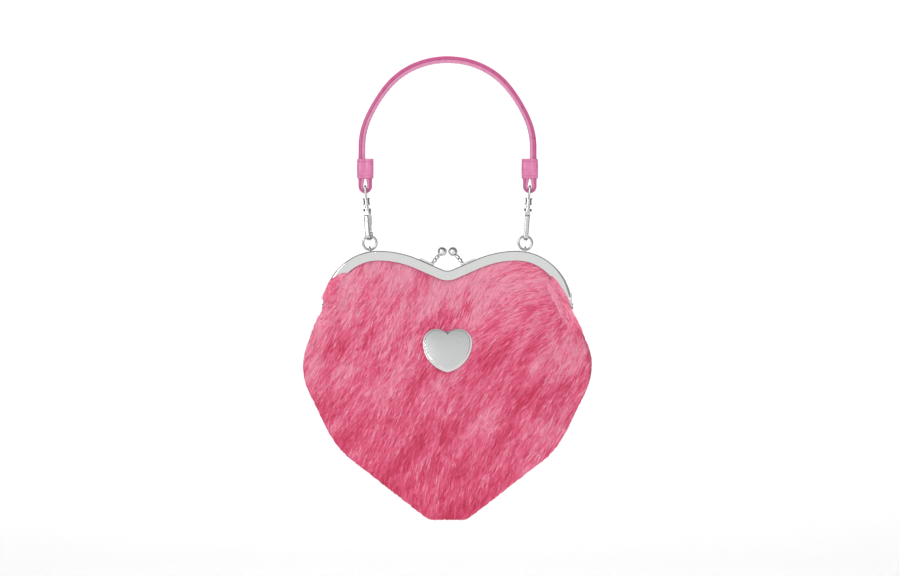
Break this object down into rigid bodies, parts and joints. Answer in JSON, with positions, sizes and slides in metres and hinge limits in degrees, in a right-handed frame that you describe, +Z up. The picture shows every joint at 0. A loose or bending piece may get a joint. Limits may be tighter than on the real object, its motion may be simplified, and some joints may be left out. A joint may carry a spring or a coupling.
{
  "type": "heart shaped purse",
  "caption": "Heart-shaped frame purse in hair-on hide: hinged kiss-lock mouth, ring lugs, two swivel snap hooks and a short arched leather handle.",
  "frame": {"origin": "middle of the handle's underside, where a hand or a hook carries the purse", "axes": "+X to the wearer's right as seen from the front, +Y away from the front, +Z up; the purse hangs below the origin"},
  "size_m": [0.1994, 0.0553, 0.3201],
  "materials": {
    "leather": "satin",
    "steel": "polished",
    "spring_steel": "satin",
    "hide": "matte",
    "lining": "matte",
    "paper": "matte"
  },
  "bodies": {
    "handle": {"handle_strap": "leather", "left_keeper": "leather", "right_keeper": "leather"},
    "bag": {"back_frame": "steel", "back_frame_cord": "paper", "left_hinge_rivet": "steel", "right_hinge_rivet": "steel", "left_ring_lug": "steel", "right_ring_lug": "steel", "back_clasp_stem": "steel", "back_clasp_ball": "steel", "back_panel": "hide", "back_lining": "lining", "front_panel_lower": "hide", "front_lining_lower": "lining", "left_gusset": "hide", "right_gusset": "hide", "left_gusset_lining": "lining", "right_gusset_lining": "lining", "plaque": "steel", "backing_plate": "steel"},
    "front_half": {"front_frame": "steel", "front_frame_cord": "paper", "front_clasp_stem": "steel", "front_clasp_ball": "steel", "front_panel_upper": "hide", "front_lining_upper": "lining"},
    "left_eye": {"left_hook_eye": "steel"},
    "left_claw": {"left_hook_claw": "steel", "left_gate_pin": "steel", "left_gate_spring": "spring_steel"},
    "left_gate": {"left_hook_gate": "steel"},
    "left_ring": {"left_ring": "steel"},
    "right_eye": {"right_hook_eye": "steel"},
    "right_claw": {"right_hook_claw": "steel", "right_gate_pin": "steel", "right_gate_spring": "spring_steel"},
    "right_gate": {"right_hook_gate": "steel"},
    "right_ring": {"right_ring": "steel"}
  },
  "joints": [
    {"name": "hook_sway", "type": "hinge", "parent": "handle", "child": "left_eye", "pos_m": [-0.0569, 0, -0.0855], "axis": [0, 1, 0], "range_deg": [-8, 8]},
    {"name": "left_hook_swivel", "type": "hinge", "parent": "left_eye", "child": "left_claw", "pos_m": [-0.0569, 0, -0.0855], "axis": [-0.0792, 0, 0.9969], "range_deg": [0, 42]},
    {"name": "left_gate_press", "type": "hinge", "parent": "left_claw", "child": "left_gate", "pos_m": [-0.05439, 0.00196, -0.10757], "axis": [-0.9306, 0.3584, -0.0739], "range_deg": [0, 17], "stiffness_Nm_per_rad": 0.01, "deforming": ["left_gate_spring"]},
    {"name": "right_hook_sway", "type": "hinge", "parent": "handle", "child": "right_eye", "pos_m": [0.0569, 0, -0.0855], "axis": [0, 1, 0], "range_deg": [-8, 8]},
    {"name": "right_hook_swivel", "type": "hinge", "parent": "right_eye", "child": "right_claw", "pos_m": [0.0569, 0, -0.0855], "axis": [0.0792, 0, 0.9969], "range_deg": [-21, 21]},
    {"name": "right_gate_press", "type": "hinge", "parent": "right_claw", "child": "right_gate", "pos_m": [0.05514, 0.0021, -0.10763], "axis": [-0.9969, 0, 0.0792], "range_deg": [0, 17], "stiffness_Nm_per_rad": 0.01, "deforming": ["right_gate_spring"]},
    {"name": "left_ring_turn", "type": "hinge", "parent": "left_eye", "child": "left_ring", "pos_m": [-0.0538, 0, -0.12453], "axis": [0, 1, 0], "range_deg": [-8.46, 8.46]},
    {"name": "bag_swing", "type": "hinge", "parent": "left_ring", "child": "bag", "pos_m": [0, 0, -0.12918], "axis": [1, 0, 0], "range_deg": [-45, 45]},
    {"name": "right_ring_tilt", "type": "hinge", "parent": "bag", "child": "right_ring", "pos_m": [0.0538, 0, -0.12918], "axis": [1, 0, 0], "range_deg": [-45, 45]},
    {"name": "frame_open", "type": "hinge", "parent": "bag", "child": "front_half", "pos_m": [0, -0.00285, -0.16824], "axis": [1, 0, 0], "range_deg": [0, 65]}
  ],
  "couplings": [
    {"joint": "right_hook_sway", "follows": "hook_sway", "ratio": 1},
    {"joint": "left_ring_turn", "follows": "hook_sway", "ratio": -1.0576},
    {"joint": "right_ring_tilt", "follows": "bag_swing", "ratio": -1}
  ]
}
